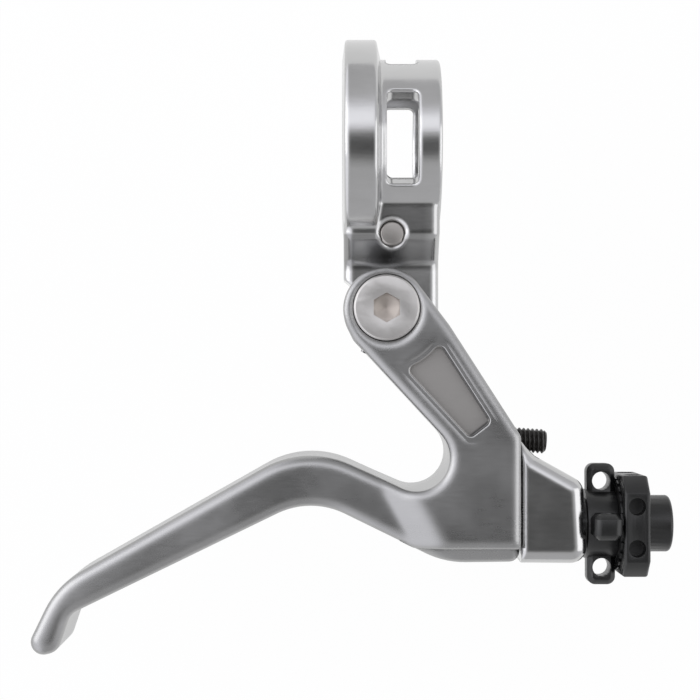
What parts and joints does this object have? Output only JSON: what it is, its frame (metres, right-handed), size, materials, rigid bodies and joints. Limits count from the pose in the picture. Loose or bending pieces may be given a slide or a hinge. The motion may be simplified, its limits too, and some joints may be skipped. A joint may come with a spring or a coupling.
{
  "type": "bicycle brake lever",
  "caption": "Two-finger bicycle brake lever with a hinged bar clamp, a forked lever arm, a curved finger blade, a reach screw and a threaded cable adjuster with a lobed lock nut.",
  "frame": {"origin": "on the handlebar's axis at the middle of the clamp's width", "axes": "+X along the bar towards the cable adjuster, +Y away from the lever, +Z out of the lever's front, where the pivot bolt's head is"},
  "size_m": [0.1007, 0.0968, 0.0334],
  "materials": {
    "bracket_metal": "polished, grey anodised",
    "lever_metal": "satin polished, grey anodised",
    "stainless": "turned stainless steel",
    "black_screw": "black oxide",
    "black_anodised": "black anodised",
    "bearing_steel": "ground",
    "cage_plastic": "matt",
    "shield_metal": "pressed",
    "spring_steel": "drawn wire"
  },
  "bodies": {
    "bracket": {"clamp_bracket": "bracket_metal", "clamp_bolt": "stainless", "clamp_bolt_washer": "stainless", "front_bearing_outer_race": "bearing_steel", "rear_bearing_outer_race": "bearing_steel", "front_bearing_shields": "shield_metal", "rear_bearing_shields": "shield_metal"},
    "lever": {"lever_blade": "lever_metal", "pivot_bolt": "stainless", "pivot_nut": "stainless", "front_bearing_inner_race": "bearing_steel", "rear_bearing_inner_race": "bearing_steel", "front_bearing_balls": "bearing_steel", "rear_bearing_balls": "bearing_steel", "front_bearing_cage": "cage_plastic", "rear_bearing_cage": "cage_plastic", "bearing_spacer": "bearing_steel", "front_pivot_washer": "bearing_steel", "rear_pivot_spacer": "bearing_steel", "return_spring": "spring_steel"},
    "reach_screw_body": {"reach_screw": "black_screw"},
    "adjuster_slider": {"adjuster_washer": "black_anodised"},
    "adjuster": {"adjuster_barrel": "black_anodised"},
    "lock_nut": {"adjuster_lock_nut": "black_anodised"}
  },
  "joints": [
    {"name": "lever_pivot", "type": "hinge", "parent": "bracket", "child": "lever", "pos_m": [-0.0008, -0.02605, 0], "axis": [0, 0, -1], "range_deg": [0, 32], "stiffness_Nm_per_rad": 0.15, "springref_deg": -22.92, "deforming": ["return_spring"]},
    {"name": "reach_screw_slide", "type": "slide", "parent": "bracket", "child": "reach_screw_body", "axis": [0.9976, -0.0698, 0], "range_m": [0, 0.003]},
    {"name": "adjuster_slide", "type": "slide", "parent": "bracket", "child": "adjuster_slider", "axis": [1, 0, 0], "range_m": [0, 0.006]},
    {"name": "adjuster_turn", "type": "hinge", "parent": "adjuster_slider", "child": "adjuster", "pos_m": [0.04, -0.0603, 0], "axis": [1, 0, 0], "range_deg": [0, 2160]},
    {"name": "lock_nut_turn", "type": "hinge", "parent": "bracket", "child": "lock_nut", "pos_m": [0.0335, -0.0603, 0], "axis": [1, 0, 0], "range_deg": [-90, 90]}
  ],
  "couplings": [
    {"joint": "adjuster_turn", "follows": "adjuster_slide", "rad_per_m": 6283.2}
  ]
}
